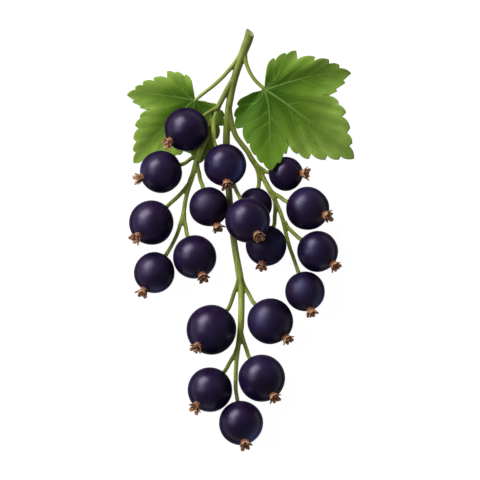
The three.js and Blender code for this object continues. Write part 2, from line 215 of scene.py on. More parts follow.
def berrySkin():
    look = berryLook
    material, shader, tree = newMaterial("berrySkin", roughness=look["roughness"][0])
    shader.inputs["IOR"].default_value = look["ior"]
    shader.inputs["Specular Tint"].default_value = (*look["glossTint"], 1)
    facing = addNode(tree, "LayerWeight", Blend=0.5).outputs["Facing"]
    tree.links.new(addRange(tree, facing, *look["gloss"]), shader.inputs["Specular IOR Level"])
    dull = addRange(tree, readLayer(tree, "dull"), 0.0, 1.0, *look["roughness"])
    tree.links.new(dull, shader.inputs["Roughness"])
    place = readPlace(tree)
    blotches = addNoise(tree, place, look["blotch"], detail=2)
    colour = addRamp(tree, blotches, look["blotchStops"], [look["deep"], look["ripe"], look["navy"]])
    patches = addNoise(tree, place, look["waxPatch"], detail=4, roughness=0.6)
    colour = addMix(tree, addRange(tree, patches, *look["wax"]), colour, look["bloom"])
    # blue patches: partly waxy bloom, partly painted rim reflection and sheen
    colour = addMix(tree, readLayer(tree, "bloomAndPaintedSheen"), colour, look["bloomAndPaintedSheen"])
    tree.links.new(colour, shader.inputs["Base Color"])
    addBump(tree, shader, addNoise(tree, place, look["pore"], detail=2), look["poreDepth"])
    return material


calyxLook = {
    "dark": (0.150, 0.060, 0.031),
    "mid": (0.34, 0.160, 0.080),
    "light": (0.53, 0.310, 0.185),
    "fibre": 0.5,
    "fibreStops": (0.3, 0.46, 0.66),
    "fibreDepth": 0.05,
}


def calyxDry():
    look = calyxLook
    material, shader, tree = newMaterial("calyxDry", roughness=0.8, specular=0.25)
    fibres = addNoise(tree, readPlace(tree), look["fibre"], detail=5, roughness=0.65)
    colour = addRamp(tree, fibres, look["fibreStops"], [look["dark"], look["mid"], look["light"]])
    # painted shade: darker at the foot, in the throat and between the sepals
    colour = addMix(tree, readLayer(tree, "paintedFoldShade"), colour, look["dark"])
    tree.links.new(colour, shader.inputs["Base Color"])
    addBump(tree, shader, fibres, look["fibreDepth"])
    return material


stemLook = {
    "shade": (0.35, 0.46, 0.046),
    "green": (0.62, 0.73, 0.125),
    "light": (0.85, 0.92, 0.280),
    "old": (0.160, 0.168, 0.120),  # what is left of those colours on an old stem, and halfway; the full colours also lift shaded stretches as painted light
    "grown": (0.32, 0.33, 0.27),
    "joint": (0.36, 0.48, 0.046),
    "jointShare": 0.4,
    "streak": 0.45,
    "streakStops": (0.3, 0.5, 0.7),
    "streakDepth": 0.04,
    "cut": (0.21, 0.25, 0.050),
    "pith": (0.36, 0.40, 0.17),
    "pore": 0.18,
    "poreStops": (0.35, 0.6),
    "poreDepth": 0.05,
}


def stemGreen():
    look = stemLook
    material, shader, tree = newMaterial("stemGreen", roughness=0.5, specular=0.22)
    grain = addNode(tree, "Attribute", attribute_name="grain").outputs["Vector"]
    streaks = addNoise(tree, grain, look["streak"] / mm, detail=4, roughness=0.6)
    colour = addRamp(tree, streaks, look["streakStops"], [look["shade"], look["green"], look["light"]])
    joint = addRange(tree, readLayer(tree, "joint"), 0.0, 1.0, 0.0, look["jointShare"])
    colour = addMix(tree, joint, colour, look["joint"])
    # paler where younger, and lighter still as painted light where berries and the leaf shade the stems
    ageWithShadowLift = addRamp(tree, readLayer(tree, "paleWithShadowLift"), (0.0, 0.5, 1.0), [look["old"], look["grown"], (1, 1, 1)])
    colour = addMix(tree, 1.0, colour, ageWithShadowLift, blend="MULTIPLY")
    tree.links.new(colour, shader.inputs["Base Color"])
    addBump(tree, shader, streaks, look["streakDepth"])
    return material


def stemPith():
    look = stemLook
    material, shader, tree = newMaterial("stemPith", roughness=0.75, specular=0.2)
    pores = addNoise(tree, readPlace(tree), look["pore"], detail=3)
    colour = addRamp(tree, pores, look["poreStops"], [look["cut"], look["pith"]])
    tree.links.new(colour, shader.inputs["Base Color"])
    addBump(tree, shader, pores, look["poreDepth"])
    return material


leafLook = {
    "base": (0.030, 0.080, 0.0028),
    "blade": (0.110, 0.205, 0.0145),
    "margin": (0.310, 0.460, 0.0750),
    "vein": (0.140, 0.240, 0.0420),
    "under": (0.25, 0.35, 0.13),
    "underVein": (0.38, 0.46, 0.22),
    "toneStops": (0.08, 0.5, 1.0),
    "cloud": 7.0,
    "cell": 0.8,
    "cellEdge": 0.18,
    "cellDepth": 0.02,
    # range of each pattern, and how much of the base colour it brings in at both its ends
    # the swell pattern darkens the valleys beside the veins, a painted shade in the grooves
    "paintedGrooveShade": (0.0, 0.8, 0.30, 0.0),
    "cloudShade": (0.35, 0.7, 0.20, 0.0),
    "cellShade": (0.0, 1.0, 0.08, 0.0),
    "underShade": (0.3, 0.7, 0.0, 0.6),  # the same for the blade's green, on its underside
}


def leafBlade(name, underside):
    look = leafLook
    material, shader, tree = newMaterial(name, roughness=0.7, specular=0.08)
    place = readPlace(tree)
    vein = readLayer(tree, "vein")
    cloud = addNoise(tree, place, look["cloud"], detail=3)
    cells = addNode(tree, "TexVoronoi", feature="DISTANCE_TO_EDGE", Scale=1 / (look["cell"] * mm))
    tree.links.new(place, cells.inputs["Vector"])
    net = addRange(tree, cells.outputs["Distance"], 0.0, look["cellEdge"], 0.0, 1.0)
    if underside:
        colour = addMix(tree, addRange(tree, cloud, *look["underShade"]), look["under"], look["blade"])
        colour = addMix(tree, vein, colour, look["underVein"])
    else:
        # the tone layer is partly painted light: lighter where a tip faces away from the key light or lies
        # in the stems' shade
        shades = [look["base"], look["blade"], look["margin"]]
        colour = addRamp(tree, readLayer(tree, "toneWithPaintedLight"), look["toneStops"], shades)
        # swell brings in the dark base colour beside the veins as painted shade in the grooves
        patterns = {"paintedGrooveShade": readLayer(tree, "swell"), "cloudShade": cloud, "cellShade": net}
        for shade, pattern in patterns.items():
            colour = addMix(tree, addRange(tree, pattern, *look[shade]), colour, look["base"])
        colour = addMix(tree, vein, colour, look["vein"])
    tree.links.new(colour, shader.inputs["Base Color"])
    addBump(tree, shader, net, look["cellDepth"])
    return material


# Shared steps

def addPiece(name, bm, materials, node):
    # brings a shaped bmesh to metres and puts it in the place of its CAD node
    mesh = bpy.data.meshes.new(name)
    bm.to_mesh(mesh)
    bm.free()
    mesh.transform(Matrix.Scale(mm, 4))
    for material in materials:
        mesh.materials.append(material)
    mesh.shade_smooth()
    piece = bpy.data.objects.new(name, mesh)
    scene.collection.objects.link(piece)
    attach(piece, "root")
    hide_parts(node)
    return piece


def pointsOf(node):
    return np.array([v.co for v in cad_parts[node].data.vertices]) / mm


def towards(heading, rise):
    h, r = math.radians(heading), math.radians(rise)
    return Vector((math.cos(h) * math.cos(r), math.sin(h) * math.cos(r), math.sin(r)))


def bell(gap, width):
    # 1 at no gap, and next to nothing past twice the width
    return math.exp(-(gap / width) ** 2)


def smoothRun(rows, step):
    # a smooth curve through rows of x, y or of x, y, z and radius, as one row each step
    rows = np.array(rows, float)
    along = np.concatenate([[0], np.cumsum(np.linalg.norm(np.diff(rows[:, :3], axis=0), axis=1))])
    slope = np.gradient(rows, along, axis=0)
    fine = np.linspace(0, along[-1], max(4, round(along[-1] / step)))
    i = np.clip(np.searchsorted(along, fine, side="right") - 1, 0, len(along) - 2)
    h = (along[i + 1] - along[i])[:, None]
    t = (fine - along[i])[:, None] / h
    start = (2 * t ** 3 - 3 * t ** 2 + 1) * rows[i] + (t ** 3 - 2 * t ** 2 + t) * h * slope[i]
    end = (3 * t ** 2 - 2 * t ** 3) * rows[i + 1] + (t ** 3 - t ** 2) * h * slope[i + 1]
    return start + end


# Berries. Each one takes its size and place from its CAD node, and its axis from its calyx's. Widths
# on them are in radians, and depths are shares of the radius.

berry = {
    "segments": 56,
    "rings": 38,
    "spotHeight": 0.05,  # the level spot that the solid berry rests on lies lower than this
    "fullness": 1.022,  # the facets of the solid berry lie inside its round skin
    "lumps": 0.018,
    "lumpSize": 0.8,
    "dimple": 0.07,
    "dimpleWidth": 0.2,
    "shoulder": 0.02,
    "shoulderWidth": 0.3,
    "creases": 0.006,
    "creaseCount": 10,
    "creaseWidth": 0.5,
    "seedStep": 7.3,  # how far apart the berries read the noise
    "dull": 0.1,  # of a berry that isn't in dullness
    "dullPatch": 0.15,
    "dullScale": 1.5,
    "lowest": 0.01,
}
# where each berry's stalk meets it: heading round the berry, and how far below its middle
stalkSides = [
    (38, 20), (20, 13), (46, 20), (57, 15), (109, 20), (107, 10), (116, 20), (80, 15), (109, 30),
    (69, 20), (174, 20), (161, 20), (144, 20), (109, 19), (51, 20), (132, 10), (121, 20), (51, 20),
    (99, 20),
]
# where the berry shows blue, partly its waxy bloom, partly painted rim reflection and sheen: heading, rise,
# width and strength
bloomAndPaintedSheens = {
    "02": [(-50, 12, 0.5, 0.15), (185, 15, 0.4, 0.12)],
    "03": [(-50, 12, 0.5, 0.1)],
    "04": [(-75, 15, 0.5, 0.25)],
    "05": [(-60, 15, 0.5, 0.25)],
    "07": [(5, 38, 0.2, 0.35), (-16, 39, 0.2, 0.5), (-36, 39, 0.2, 0.5), (-55, 38, 0.2, 0.5)],
    "09": [(-15, 20, 0.5, 0.12)],
    "10": [(10, 45, 0.4, 0.2), (-70, 20, 0.5, 0.12)],
    "12": [(110, 45, 0.5, 0.06)],
    "13": [(160, 65, 0.4, 0.08), (-60, 20, 0.5, 0.08)],
    "14": [(120, 70, 0.35, 0.12), (-40, 15, 0.5, 0.25)],
    "15": [(-10, 30, 0.8, 0.03)],
    "16": [(165, 65, 0.4, 0.08)],
    "18": [(-100, 15, 0.5, 0.12)],
    "19": [(-45, 15, 0.6, 0.4)],
}
# how waxy and so how dull a berry is
dullness = {"04": 0.45, "06": 1.0, "08": 0.7, "10": 0.6, "12": 0.4, "13": 0.3, "14": 0.7, "16": 0.6}
numbers = [f"{i + 1:02d}" for i in range(len(stalkSides))]


def ballOf(node):
    # centre and radius of the ball through a berry's corners, without its level spot
    points = pointsOf(node)
    points = points[points[:, 2] > berry["spotHeight"]]
    system = np.column_stack([2 * points, np.ones(len(points))])
    x, y, z, rest = np.linalg.lstsq(system, (points ** 2).sum(axis=1), rcond=None)[0]
    return Vector((x, y, z)), math.sqrt(rest + x * x + y * y + z * z)


balls = {}
for number, (heading, drop) in zip(numbers, stalkSides):
    centre, radius = ballOf("berry_" + number)
    axis = (Vector(pointsOf("calyx_" + number).mean(axis=0)) - centre).normalized()
    radius *= berry["fullness"]
    balls[number] = {"centre": centre, "radius": radius, "axis": axis, "stalk": towards(heading, -drop)}


def makeBerry(number, material):
    ball = balls[number]
    bm = bmesh.new()
    bmesh.ops.create_uvsphere(bm, u_segments=berry["segments"], v_segments=berry["rings"], radius=1)
    turn = ball["axis"].to_track_quat("Z", "Y").to_matrix()
    offset = Vector((int(number) * berry["seedStep"], 0, 0))
    clouds = [(towards(heading, rise), *rest) for heading, rise, *rest in bloomAndPaintedSheens.get(number, [])]
    bloomAndPaintedSheen = bm.verts.layers.float.new("bloomAndPaintedSheen")
    dull = bm.verts.layers.float.new("dull")
    for v in bm.verts:
        away = v.co.normalized()
        heading = math.atan2(away.y, away.x)
        fromCalyx = away.angle(Vector((0, 0, 1)), 0)
        away = turn @ away
        fromStalk = away.angle(ball["stalk"], 0)
        ridge = 0.5 + 0.5 * math.cos(berry["creaseCount"] * heading)
        size = 1 + berry["lumps"] * noise.noise(away / berry["lumpSize"] + offset)
        size += berry["shoulder"] * bell(fromCalyx, berry["shoulderWidth"])
        size -= berry["creases"] * ridge * bell(fromCalyx, berry["creaseWidth"])
        size -= berry["dimple"] * bell(fromStalk, berry["dimpleWidth"])
        patch = berry["dullPatch"] * noise.noise(away * berry["dullScale"] - offset)
        # blue patches, partly waxy bloom and partly painted rim reflection and sheen
        v[bloomAndPaintedSheen] = sum(strength * bell(away.angle(middle, 0), width) for middle, width, strength in clouds)
        v[dull] = dullness.get(number, berry["dull"]) + patch
        v.co = ball["centre"] + away * ball["radius"] * size
        v.co.z = max(v.co.z, berry["lowest"])
    addPiece("berry" + number, bm, [material], "berry_" + number)


# Calyces: two rings of blunt dry sepals, one inside the other, on a short fluted neck

calyx = {
    "around": 84,
    "rows": 14,  # up the outside of a whorl, and as many down its inside
    "crumple": 0.13,
    "crumpleSeed": 5,
    "crumpleScale": 0.9,
    "lengths": (0.8, 1.1),  # from the shortest sepal to the longest, and the same for their curl
    "curls": (0.6, 1.2),
    "neckShare": 0.4,  # of the rows, and the others are in the sepals
    "taper": (0.56, 2.6),  # how much shorter a sepal is at its sides, and how suddenly
    "thinning": 0.6,  # how much of its thickness a sepal has lost at its tip
    "lowest": 0.02,
    # where the folds are dark, as painted shade in the calyx's hollows and creases: at the foot, up to a
    # height, in the throat and between the sepals
    "footDark": (0.95, 1.6),
    "throatDark": 0.15,
    "sideDark": 0.6,
    "tipPale": 0.6,  # how much of that painted shade is gone at the tips
    # the outer whorl stands on the berry and the inner one fills its mouth: widths, then heights above
    # the berry, then the free length of the sepals and how far they lean out at root and tip, in radians
    "whorls": [
        {"sepals": 6, "foot": 1.3, "waist": 1.05, "from": -0.35, "neck": 0.35, "flute": 0.15,
         "length": 1.85, "lean": (0.35, 0.8), "thickness": 0.44},
        {"sepals": 5, "foot": 0.7, "waist": 0.65, "from": 0.1, "neck": 0.55, "flute": 0.15,
         "length": 1.65, "lean": (0.1, 0.45), "thickness": 0.38},
    ],
}


def sepalCurve(root, tip, length):
    # how far out and up a sepal has come at a length, as its lean grows from root to tip
    if length < 0.001:
        return 0.0, 0.0
    out = length * (math.cos(root) - math.cos(tip)) / (tip - root)
    return out, length * (math.sin(tip) - math.sin(root)) / (tip - root)


def spinTube(bm):
    # an upright tube of radius 1 and height 1, whose lower half becomes a whorl's outside
    old, rows = len(bm.verts), calyx["rows"] * 2
    line = [bm.verts.new((1, 0, i / rows)) for i in range(rows + 1)]
    edges = [bm.edges.new(pair) for pair in zip(line, line[1:])]
    steps = calyx["around"]
    bmesh.ops.spin(bm, geom=line + edges, axis=(0, 0, 1), angle=math.tau, steps=steps, use_merge=True)
    bm.verts.ensure_lookup_table()
    return bm.verts[old:]


def sepalDark(outside, height, across, share):
    # painted shade: darkest at the foot against the berry, in the throat and between the sepals, fading at
    # the tips
    foot, top = calyx["footDark"]
    dark = 1 - foot * min(1, max(0, height) / top) if outside else calyx["throatDark"] * (1 - share)
    dark = max(dark, calyx["sideDark"] * abs(across) ** 3)
    return min(1, dark * (1 - calyx["tipPale"] * share ** 2))


def growWhorl(bm, whorl, ball, paintedFoldShade, dice):
    # a tube up the outside and down the inside of one ring of sepals
    sepals, root = whorl["sepals"], whorl["lean"][0]
    lengths = [whorl["length"] * dice.uniform(*calyx["lengths"]) for _ in range(sepals)]
    tips = [whorl["lean"][1] * dice.uniform(*calyx["curls"]) for _ in range(sepals)]
    start, seed = dice.uniform(0, math.tau), dice.uniform(0, 99)
    turn = ball["axis"].to_track_quat("Z", "Y").to_matrix()
    foot = ball["centre"] + ball["axis"] * ball["radius"]
    shorter, sudden = calyx["taper"]
    for v in spinTube(bm):
        heading = math.atan2(v.co.y, v.co.x) % math.tau
        outside = v.co.z <= 0.5
        climb = min(v.co.z, 1 - v.co.z) * 2  # 0 at the foot or the throat, 1 at the rim
        across = heading / math.tau * sepals
        sepal = int(across) % sepals
        across = 2 * (across - int(across)) - 1  # -1 and 1 at a sepal's sides
        neck = min(climb / calyx["neckShare"], 1)
        share = max(0, (climb - calyx["neckShare"]) / (1 - calyx["neckShare"]))
        length = lengths[sepal] * (1 - shorter * abs(across) ** sudden) * share
        out, up = sepalCurve(root, root + (tips[sepal] - root) * max(share, 0.05), length)
        radius = whorl["foot"] + (whorl["waist"] - whorl["foot"]) * neck + out
        radius *= 1 - whorl["flute"] * across ** 2 * (0.5 + 0.5 * climb)
        height = whorl["from"] + (whorl["neck"] - whorl["from"]) * neck + up
        if not outside:
            radius -= whorl["thickness"] * (1 - calyx["thinning"] * share)
            height = max(height, whorl["neck"] * 0.9)
        if climb < 0.001:  # both ends of the tube close on the axis
            radius = 0
        v[paintedFoldShade] = sepalDark(outside, height, across, share)
        v.co = (radius * math.cos(heading + start), radius * math.sin(heading + start), height)
        crumple = noise.noise_vector(v.co * calyx["crumpleScale"] + Vector((seed, 0, 0)))
        v.co += crumple * calyx["crumple"] * climb
        v.co = foot + turn @ v.co
        v.co.z = max(v.co.z, calyx["lowest"])


def makeCalyx(number, material):
    dice = random.Random(int(number) * 31 + 5)
    noise.seed_set(calyx["crumpleSeed"])  # or else the crumple would be another one each time
    bm = bmesh.new()
    paintedFoldShade = bm.verts.layers.float.new("paintedFoldShade")
    for whorl in calyx["whorls"]:
        growWhorl(bm, whorl, balls[number], paintedFoldShade, dice)
    bmesh.ops.remove_doubles(bm, verts=bm.verts, dist=0.002)
    bmesh.ops.recalc_face_normals(bm, faces=bm.faces)
    addPiece("calyx" + number, bm, [material], "calyx_" + number)


# Stem. Rows are x, y, z and radius.

stem = {
    "voxel": 0.17,
    "smooth": 3,
    "swell": 0.06,  # what the smoothing takes off the radius
    "step": 0.5,
    "stalk": 0.53,
    "stalkWidth": {"07": 0.62},  # of one that differs
    "root": 0.7,  # a stalk is thicker where it leaves its stem
    "lead": 1.6,  # the last stretch of a stalk runs straight into its berry
    "flare": 1.1,
    "knob": 0.74,
    "knobLength": 0.5,
    "sunk": 0.15,  # how deep a knob sits in its dimple
    "cutAt": (2.9, 55.9, 2.6),
    "cutFacing": (0.62, 0.68, 0.38),
    "cutAbove": 53.0,  # only the top of the sprig is cut
    "cutRim": 0.14,
    "cutDepth": 0.05,
    "grainStep": 9,  # how far apart the stems read the noise, and how little it changes along them
    "grainStretch": 0.09,
    "jointReach": 1.9,
    # how pale the stems and the leaf stalks are, by the share of their length: the older the darker, and
    # paler still as painted light where berries and the leaf shade them
    "paleWithShadowLift": [
        [(0, 0.15), (0.5, 0.5), (0.75, 0.68), (0.85, 1.0)],
        [(0, 0.15), (0.15, 0.25), (0.3, 0.35), (0.42, 1.0), (1, 0.9)],
        [(0, 0.05), (0.2, 0.2), (0.35, 0.5), (0.45, 1.0), (0.6, 1.0), (0.7, 0.75)],
        [(0, 0.4), (1, 0.55)],
        [(0, 0.4), (1, 0.55)],
    ],
    # the stalks' paleness, partly painted light where berries shade them
    "stalkPaleWithShadowLift": {"01": 0.35, "07": 0.8, "15": 0.5, "16": 0.4, "09": 0.5, "06": 0.6},
    "otherPaleWithShadowLift": 0.75,
}
mainStem = [
    (3.6, 58.6, 2.6, 1.26), (2.65, 56.0, 2.6, 1.26), (2.1, 54.0, 2.6, 1.23), (1.3, 52.0, 2.6, 1.2),
    (0.55, 50.0, 2.5, 1.1), (-0.15, 48.0, 2.4, 1.03), (-0.85, 46.0, 2.3, 1.0), (-1.45, 44.0, 2.2, 0.98),
    (-1.95, 42.0, 2.1, 0.96), (-2.4, 40.0, 2.0, 0.94), (-2.75, 38.0, 1.9, 0.92), (-3.1, 36.0, 1.8, 0.9),
    (-3.3, 34.0, 1.7, 0.9), (-3.5, 32.0, 1.6, 0.92), (-3.65, 30.0, 1.5, 0.93), (-3.75, 26.0, 1.4, 0.94),
    (-3.6, 20.2, 1.3, 0.92), (-3.1, 13.5, 1.3, 0.9), (-2.8, 9.5, 1.3, 0.88), (-1.75, 0.0, 1.7, 0.86),
    (-1.15, -4.0, 2.0, 0.88), (-0.6, -7.0, 2.3, 0.92), (-0.1, -10.0, 2.55, 0.98), (0.25, -12.5, 2.65, 0.92),
    (0.32, -15.5, 2.7, 0.86), (0.28, -20.0, 2.7, 0.85), (0.1, -24.0, 2.7, 0.84), (-0.2, -26.4, 2.7, 0.78),
    (-0.55, -28.5, 2.8, 0.69), (-0.8, -31.0, 2.9, 0.58), (-1.1, -34.0, 3.1, 0.55),
    (-1.27, -37.8, 3.2, 0.54), (-1.2, -40.5, 3.2, 0.52),
]
leftStem = [
    (-1.45, 44.5, 2.2, 0.7), (-2.55, 42.5, 2.3, 0.72), (-3.6, 40.6, 2.4, 0.72), (-4.85, 38.2, 2.45, 0.7),
    (-5.7, 36.6, 2.5, 0.7), (-6.5, 35.1, 2.55, 0.68), (-7.4, 33.3, 2.6, 0.62), (-8.25, 30.6, 2.55, 0.6),
    (-9.1, 27.7, 2.4, 0.62), (-10.5, 24.9, 2.3, 0.7), (-11.55, 22.2, 2.2, 0.75), (-12.1, 20.3, 2.15, 0.75),
    (-12.75, 18.0, 2.1, 0.72), (-13.45, 16.0, 2.1, 0.76), (-14.05, 14.0, 2.1, 0.65),
    (-14.55, 12.0, 2.1, 0.57),
    (-14.95, 10.0, 2.15, 0.57), (-15.25, 8.0, 2.2, 0.58), (-15.7, 5.9, 2.3, 0.55), (-16.3, 4.0, 2.4, 0.53),
    (-16.9, 2.0, 2.5, 0.52), (-17.8, 0.0, 2.8, 0.5),
]
rightStem = [
    (-3.1, 36.5, 1.8, 0.7), (-2.7, 33.5, 1.9, 0.7), (-2.15, 31.0, 2.05, 0.7), (-1.1, 28.0, 2.25, 0.68),
    (0.35, 26.0, 2.35, 0.68), (1.9, 24.0, 2.4, 0.69), (3.05, 22.0, 2.45, 0.72), (4.4, 20.0, 2.5, 0.76),
    (5.6, 18.0, 2.45, 0.7), (6.65, 16.0, 2.4, 0.66), (7.7, 14.0, 2.3, 0.7), (8.8, 12.0, 2.25, 0.66),
    (9.75, 10.0, 2.15, 0.56), (10.65, 8.0, 2.1, 0.56), (11.35, 6.0, 2.15, 0.55), (11.9, 4.0, 2.2, 0.55),
    (12.3, 2.0, 2.25, 0.51), (12.85, 0.0, 2.35, 0.5), (13.4, -2.0, 2.5, 0.5), (14.1, -4.0, 2.7, 0.5),
]
leafStalks = [
    [(0.9, 51.4, 2.5, 0.66), (-0.1, 50.0, 2.55, 0.62), (-0.95, 48.7, 2.6, 0.58), (-2.0, 47.2, 2.65, 0.56),
     (-3.0, 46.05, 2.7, 0.54), (-5.0, 43.85, 2.6, 0.53), (-7.0, 42.0, 2.4, 0.51), (-9.0, 40.45, 2.25, 0.48),
     (-11.0, 38.85, 2.05, 0.46), (-12.3, 37.7, 1.75, 0.36), (-13.3, 36.7, 1.4, 0.24)],
    [(1.2, 51.2, 2.6, 0.62), (1.35, 49.8, 2.8, 0.56), (1.55, 48.1, 2.9, 0.52), (2.3, 46.0, 3.05, 0.5),
     (3.15, 44.4, 3.1, 0.49), (4.15, 43.05, 3.2, 0.49), (5.2, 42.0, 3.25, 0.49), (6.2, 41.1, 3.3, 0.46),
     (7.2, 40.3, 3.1, 0.38), (8.6, 39.2, 2.8, 0.24)],
]
# each berry's stalk, from its stem on, as x, y, z
stalks = {
    "01": [(-6.2, 35.7, 2.55), (-7.8, 34.9, 3.3)],
    "02": [(-11.4, 22.9, 2.2), (-13.0, 22.2, 2.5)],
    "03": [(-13.9, 15.0, 2.1), (-15.4, 13.3, 2.3), (-16.9, 11.7, 2.6)],
    "05": [(-15.35, 7.4, 2.2), (-15.1, 5.2, 2.3), (-14.75, 3.6, 2.5)],
    "06": [(-11.85, 21.0, 2.2), (-11.45, 19.3, 2.4), (-11.1, 18.0, 2.7), (-10.85, 16.4, 3.3)],
    "07": [(-6.7, 34.6, 2.6), (-7.15, 33.0, 3.0), (-7.3, 31.2, 3.6), (-7.25, 29.0, 4.5)],
    "08": [(4.6, 19.4, 2.5), (4.95, 17.6, 2.6), (5.05, 16.4, 2.7)],
    "09": [(-3.3, 18.6, 1.4), (-2.0, 15.7, 2.9), (-1.1, 13.4, 6.2)],
    "10": [(9.2, 11.6, 2.25), (9.45, 9.8, 2.4), (9.45, 7.6, 2.7), (9.3, 5.9, 2.9)],
    "11": [(4.1, 20.5, 2.5), (5.3, 19.6, 2.5), (6.2, 19.0, 2.3)],
    "12": [(8.2, 13.1, 2.3), (9.4, 12.4, 2.45), (10.8, 11.6, 2.8)],
    "13": [(11.9, 4.9, 2.2), (12.6, 3.8, 2.3), (13.9, 2.4, 2.6)],
    "15": [(-0.3, -10.6, 2.5), (-0.95, -12.4, 2.7), (-1.55, -14.0, 2.8), (-2.2, -16.0, 3.1)],
    "16": [(0.3, -10.8, 2.55), (1.05, -12.4, 2.7), (1.95, -14.0, 2.9), (2.6, -15.2, 3.5)],
    "17": [(0.1, -25.0, 2.7), (0.75, -26.8, 2.8), (1.2, -28.2, 2.9), (1.75, -29.8, 3.1)],
    "18": [(-0.7, -29.2, 2.8), (-1.4, -30.7, 2.9), (-2.3, -32.2, 3.0), (-3.1, -33.6, 3.1)],
}


def rowsToBerry(number):
    # straight in to the berry, widening to the knob that it hangs from
    ball, stalk = balls[number], stem["stalk"]
    sunk = ball["radius"] * (1 - berry["dimple"]) - stem["sunk"]
    spots = [
        (sunk + stem["lead"], stalk),
        (sunk + stem["knobLength"], stalk * stem["flare"]),
        (sunk, stem["knob"]),
    ]
    return [(*(ball["centre"] + ball["stalk"] * out), radius) for out, radius in spots]


def stalkRows(number, points):
    radii = [stem["root"]] + [stem["stalkWidth"].get(number, stem["stalk"])] * (len(points) - 1)
    return [(*point, radius) for point, radius in zip(points, radii)] + rowsToBerry(number)


def sweepTubes(runs):
    # all runs as round tubes, melted into one skin
    curve = bpy.data.curves.new("tubes", "CURVE")
    curve.dimensions = "3D"
    curve.bevel_depth = 1
    curve.bevel_resolution = 4
    curve.use_fill_caps = True
    for run in runs:
        spline = curve.splines.new("POLY")
        spline.points.add(len(run) - 1)
        spline.points.foreach_set("co", np.column_stack([run[:, :3], np.ones(len(run))]).ravel())
        spline.points.foreach_set("radius", run[:, 3] + stem["swell"])
    tubes = bpy.data.objects.new("tubes", curve)
    scene.collection.objects.link(tubes)
    swept = bpy.data.meshes.new_from_object(tubes.evaluated_get(bpy.context.evaluated_depsgraph_get()))
    bpy.data.objects.remove(tubes)
    melted = bpy.data.objects.new("melted", swept)
    scene.collection.objects.link(melted)
    remesh = melted.modifiers.new("remesh", "REMESH")
    remesh.mode = "VOXEL"
    remesh.voxel_size = stem["voxel"]
    skin = bpy.data.meshes.new_from_object(melted.evaluated_get(bpy.context.evaluated_depsgraph_get()))
    bm = bmesh.new()
    bm.from_mesh(skin)
    bpy.data.objects.remove(melted)
    return bm


def cutSlanted(bm):
    # the slanted cut at the top, its face set in a little from the skin
    at, facing = Vector(stem["cutAt"]), Vector(stem["cutFacing"]).normalized()
    top = [f for f in bm.faces if f.calc_center_median().y > stem["cutAbove"]]
    geom = list({v for f in top for v in f.verts} | {e for f in top for e in f.edges}) + top
    cut = bmesh.ops.bisect_plane(bm, geom=geom, plane_co=at, plane_no=facing, clear_outer=True)
    rim = [e for e in cut["geom_cut"] if isinstance(e, bmesh.types.BMEdge)]
    face = bmesh.ops.contextual_create(bm, geom=rim)["faces"]
    bmesh.ops.inset_region(bm, faces=face, thickness=stem["cutRim"], depth=-stem["cutDepth"],
                           use_even_offset=True)
    for f in face:
        f.material_index = 1
    bmesh.ops.poke(bm, faces=face)
    for f in bm.faces:
        if f.material_index != 1 and len(f.verts) > 4:
            bmesh.ops.triangulate(bm, faces=[f])


def layGrain(bm, runs, palenessWithShadowLift):
    # for each point of the skin: where it is round and along its stem, how near to a joint and how pale,
    # that paleness partly painted light over cast shade
    grain = bm.verts.layers.float_vector.new("grain")
    joint = bm.verts.layers.float.new("joint")
    paleWithShadowLift = bm.verts.layers.float.new("paleWithShadowLift")
    samples = [(Vector(row[:3]), i, j) for i, run in enumerate(runs) for j, row in enumerate(run)]
    nearest = KDTree(len(samples))
    for k, (point, _, _) in enumerate(samples):
        nearest.insert(point, k)
    nearest.balance()
    joints = KDTree(len(runs) - 1)  # where each of the others leaves its stem
    for i, run in enumerate(runs[1:]):
        joints.insert(Vector(run[0, :3]), i)
    joints.balance()
    tonesWithPaintedLight = [np.interp(np.arange(len(run)) / len(run), *zip(*stops)) for run, stops in zip(runs, palenessWithShadowLift)]
    for v in bm.verts:
        point, k, _ = nearest.find(v.co)
        _, i, j = samples[k]
        run = runs[i]
        ahead = Vector(run[min(j + 1, len(run) - 1), :3]) - Vector(run[max(j - 1, 0), :3])
        ahead.normalize()
        side = ahead.cross(Vector((0, 0, 1))).normalized()
        away = v.co - point
        along = (j * stem["step"] + away.dot(ahead)) * stem["grainStretch"]
        v[grain] = (away.dot(side) + stem["grainStep"] * i, away.z, along)
        v[joint] = bell(joints.find(v.co)[2], stem["jointReach"])
        v[paleWithShadowLift] = tonesWithPaintedLight[i][j]


def makeStem(materials):
    rows = [mainStem + rowsToBerry("19"), leftStem + rowsToBerry("04"), rightStem + rowsToBerry("14")]
    rows += leafStalks + [stalkRows(number, points) for number, points in stalks.items()]
    runs = [smoothRun(run, stem["step"]) for run in rows]
    bm = sweepTubes(runs)
    axes = {"use_axis_x": True, "use_axis_y": True, "use_axis_z": True}
    for _ in range(stem["smooth"]):
        bmesh.ops.smooth_vert(bm, verts=bm.verts, factor=0.5, **axes)
    cutSlanted(bm)
    shades = [stem["stalkPaleWithShadowLift"].get(number, stem["otherPaleWithShadowLift"]) for number in stalks]
    layGrain(bm, runs, stem["paleWithShadowLift"] + [[(0, shade)] for shade in shades])
    addPiece("stem", bm, materials, "stem")


# Leaves. The blade's own frame has its middle rib along +X, from the stalk at 0, 0.

